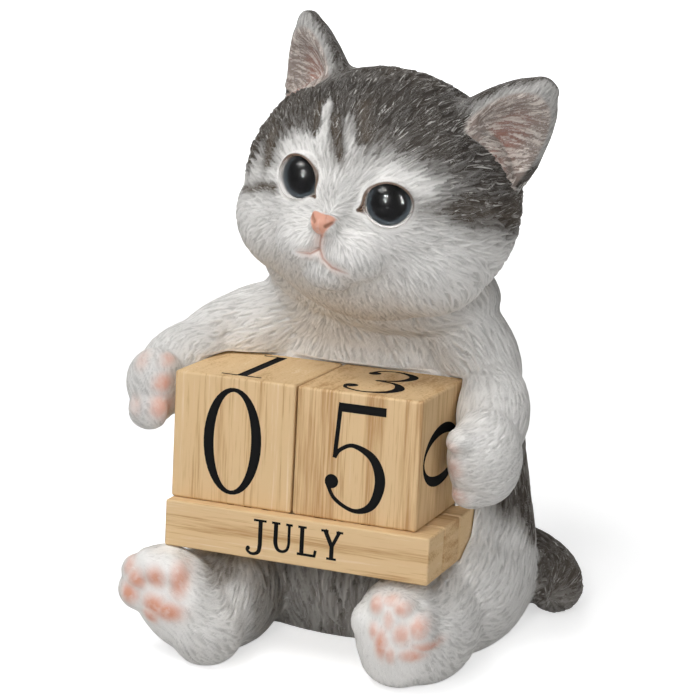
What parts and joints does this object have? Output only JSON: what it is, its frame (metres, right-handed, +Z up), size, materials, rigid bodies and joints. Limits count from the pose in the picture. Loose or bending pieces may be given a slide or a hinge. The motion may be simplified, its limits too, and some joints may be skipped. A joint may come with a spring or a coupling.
{
  "type": "perpetual desk calendar",
  "caption": "Sitting cast kitten that holds loose wooden day cubes and month bars on its lap as a perpetual desk calendar.",
  "frame": {"origin": "on the table, at the middle of the felt pad under the body", "axes": "+Z up, the kitten faces -Y, +X is the kitten's left"},
  "size_m": [0.1093, 0.0945, 0.1544],
  "materials": {
    "painted_resin": "hand-painted matt cast resin with carved fur",
    "plug_rubber": "matt black rubber",
    "felt": "dark grey wool felt",
    "eye_glass": "polished clear glass",
    "eye_enamel": "black pupil and a thin blue-grey iris, glossy",
    "cube_wood": "sanded pale beech, digits engraved and blackened",
    "bar_wood": "sanded pale beech, month names engraved and blackened"
  },
  "bodies": {
    "kitten": {"kitten_casting": "painted_resin", "base_plug": "plug_rubber", "base_felt": "felt", "eye_glass_right": "eye_glass", "eye_glass_left": "eye_glass", "eye_backing_right": "eye_enamel", "eye_backing_left": "eye_enamel"},
    "tens_cube": {"day_cube_tens": "cube_wood"},
    "units_cube": {"day_cube_units": "cube_wood"},
    "rear_bar": {"month_bar_rear": "bar_wood"},
    "middle_bar": {"month_bar_middle": "bar_wood"},
    "front_bar": {"month_bar_front": "bar_wood"}
  },
  "joints": [
    {"name": "tens_cube_pull", "type": "slide", "parent": "kitten", "child": "tens_cube", "axis": [0, -0.9903, 0.1392], "range_m": [0, 0.04]},
    {"name": "units_cube_pull", "type": "slide", "parent": "kitten", "child": "units_cube", "axis": [0, -0.9903, 0.1392], "range_m": [0, 0.04]},
    {"name": "rear_bar_pull", "type": "slide", "parent": "kitten", "child": "rear_bar", "axis": [0, -0.9903, 0.1392], "range_m": [0, 0.036]},
    {"name": "middle_bar_pull", "type": "slide", "parent": "rear_bar", "child": "middle_bar", "axis": [0, -0.9903, 0.1392], "range_m": [0, 0.02]},
    {"name": "front_bar_pull", "type": "slide", "parent": "middle_bar", "child": "front_bar", "axis": [0, -0.9903, 0.1392], "range_m": [0, 0.02]}
  ]
}
